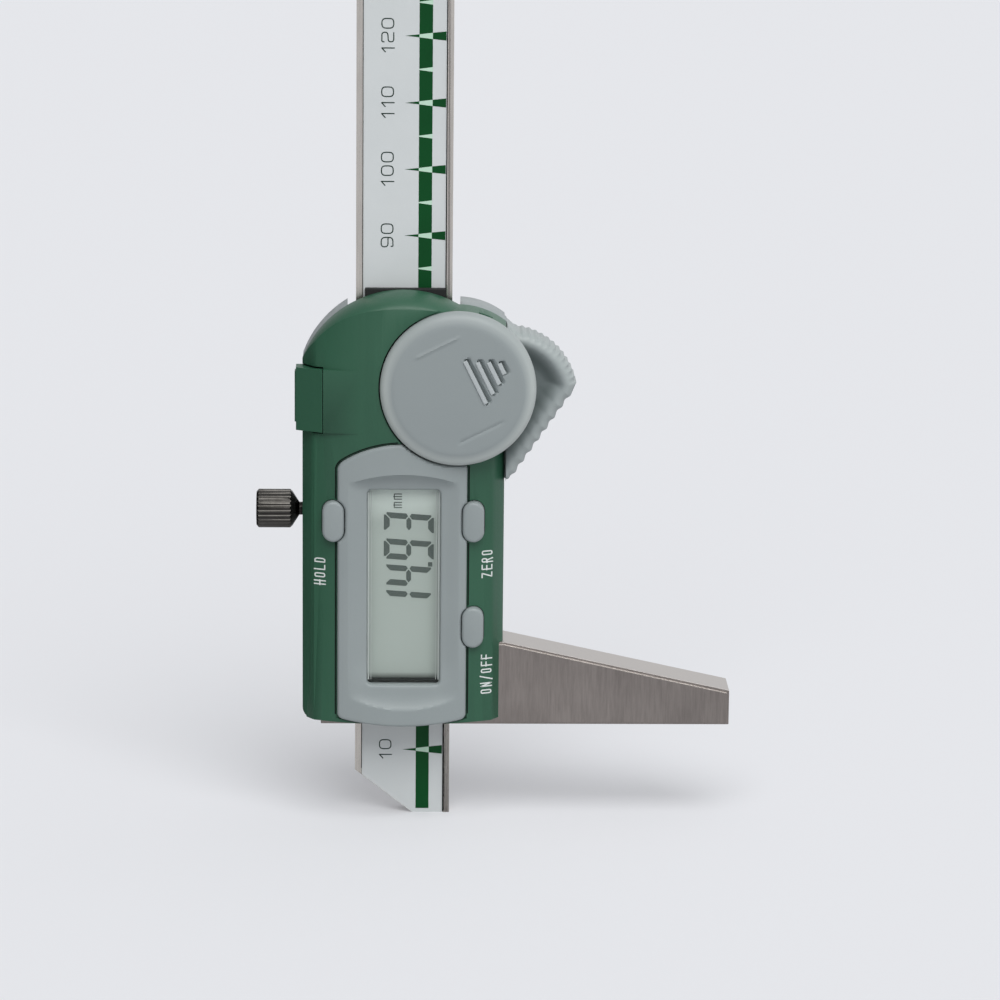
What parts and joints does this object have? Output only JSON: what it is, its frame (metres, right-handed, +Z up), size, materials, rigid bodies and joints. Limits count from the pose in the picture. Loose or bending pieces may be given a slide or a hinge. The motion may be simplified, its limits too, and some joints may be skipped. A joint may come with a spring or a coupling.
{
  "type": "digital depth gauge",
  "caption": "Digital depth gauge: a flat scaled beam slides through a housing with a display and a one-sided ground base.",
  "frame": {"origin": "on the axis of the beam, in the plane of the base's measuring face", "axes": "+Z up along the beam, away from the measured depth; +Y from the display to the back; +X towards the long arm of the base"},
  "size_m": [0.0723, 0.0154, 0.23],
  "materials": {
    "ground_steel": "stainless steel, finely ground",
    "frame_steel": "stainless steel, milled and ground",
    "bright_screws": "bright zinc-plated steel",
    "blackened_steel": "blackened steel, satin",
    "green_plastic": "moulded plastic, fine satin grain",
    "grey_plastic": "moulded plastic, fine satin grain",
    "printed_label": "white printed film with a green scale",
    "glass_fibre": "glass-fibre laminate",
    "clear_window": "clear polished acrylic",
    "liquid_crystal": "reflective liquid crystal glass",
    "black_rubber": "matt black rubber and felt",
    "brass": "bare brass",
    "gold_contacts": "gold-plated spring brass",
    "cell_steel": "nickel-plated steel can",
    "chip_black": "moulded epoxy"
  },
  "bodies": {
    "slider": {"slider_frame": "frame_steel", "base": "ground_steel", "base_screws": "bright_screws", "base_pins": "bright_screws", "gib_strip": "brass", "gib_screws": "blackened_steel", "circuit_board": "glass_fibre", "controller_chip": "chip_black", "switch_domes": "cell_steel", "zebra_strip": "black_rubber", "lcd_panel": "liquid_crystal", "lcd_gasket": "black_rubber", "lcd_window": "clear_window", "front_housing": "green_plastic", "display_panel": "grey_plastic", "rear_shell": "grey_plastic", "housing_screws": "bright_screws", "upper_wiper": "black_rubber", "lower_wiper": "black_rubber", "battery": "cell_steel", "battery_contact_plus": "gold_contacts", "battery_contact_minus": "gold_contacts", "port_contacts": "gold_contacts"},
    "beam": {"beam": "ground_steel", "scale_board": "glass_fibre", "scale_label": "printed_label", "stop_plate": "frame_steel", "stop_screws": "bright_screws"},
    "lock_pad": {"lock_pad": "brass"},
    "lock_screw": {"lock_screw": "blackened_steel"},
    "hold_button": {"hold_button": "grey_plastic"},
    "zero_button": {"zero_button": "grey_plastic"},
    "on_off_button": {"on_off_button": "grey_plastic"},
    "battery_cover": {"battery_cover": "grey_plastic"},
    "port_cover": {"port_cover": "green_plastic"}
  },
  "joints": [
    {"name": "beam_slide", "type": "slide", "parent": "slider", "child": "beam", "axis": [0, 0, -1], "range_m": [-0.01493, 0.13507]},
    {"name": "lock_screw_turn", "type": "hinge", "parent": "lock_pad", "child": "lock_screw", "pos_m": [0, 0, 0.0327], "axis": [1, 0, 0], "range_deg": [-540, 45]},
    {"name": "lock_pad_press", "type": "slide", "parent": "slider", "child": "lock_pad", "axis": [1, 0, 0], "range_m": [-0.000674, 0.000056]},
    {"name": "hold_button_press", "type": "slide", "parent": "slider", "child": "hold_button", "axis": [0, 1, 0], "range_m": [0, 0.00035], "stiffness_N_per_m": 300},
    {"name": "zero_button_press", "type": "slide", "parent": "slider", "child": "zero_button", "axis": [0, 1, 0], "range_m": [0, 0.00035], "stiffness_N_per_m": 300},
    {"name": "on_off_button_press", "type": "slide", "parent": "slider", "child": "on_off_button", "axis": [0, 1, 0], "range_m": [0, 0.00035], "stiffness_N_per_m": 300},
    {"name": "battery_cover_slide", "type": "slide", "parent": "slider", "child": "battery_cover", "axis": [0.8949, 0, 0.4462], "range_m": [0, 0.026]},
    {"name": "port_cover_slide", "type": "slide", "parent": "slider", "child": "port_cover", "axis": [-1, 0, 0], "range_m": [0, 0.007]}
  ],
  "couplings": [
    {"joint": "lock_screw_turn", "follows": "lock_pad_press", "rad_per_m": 13963}
  ]
}
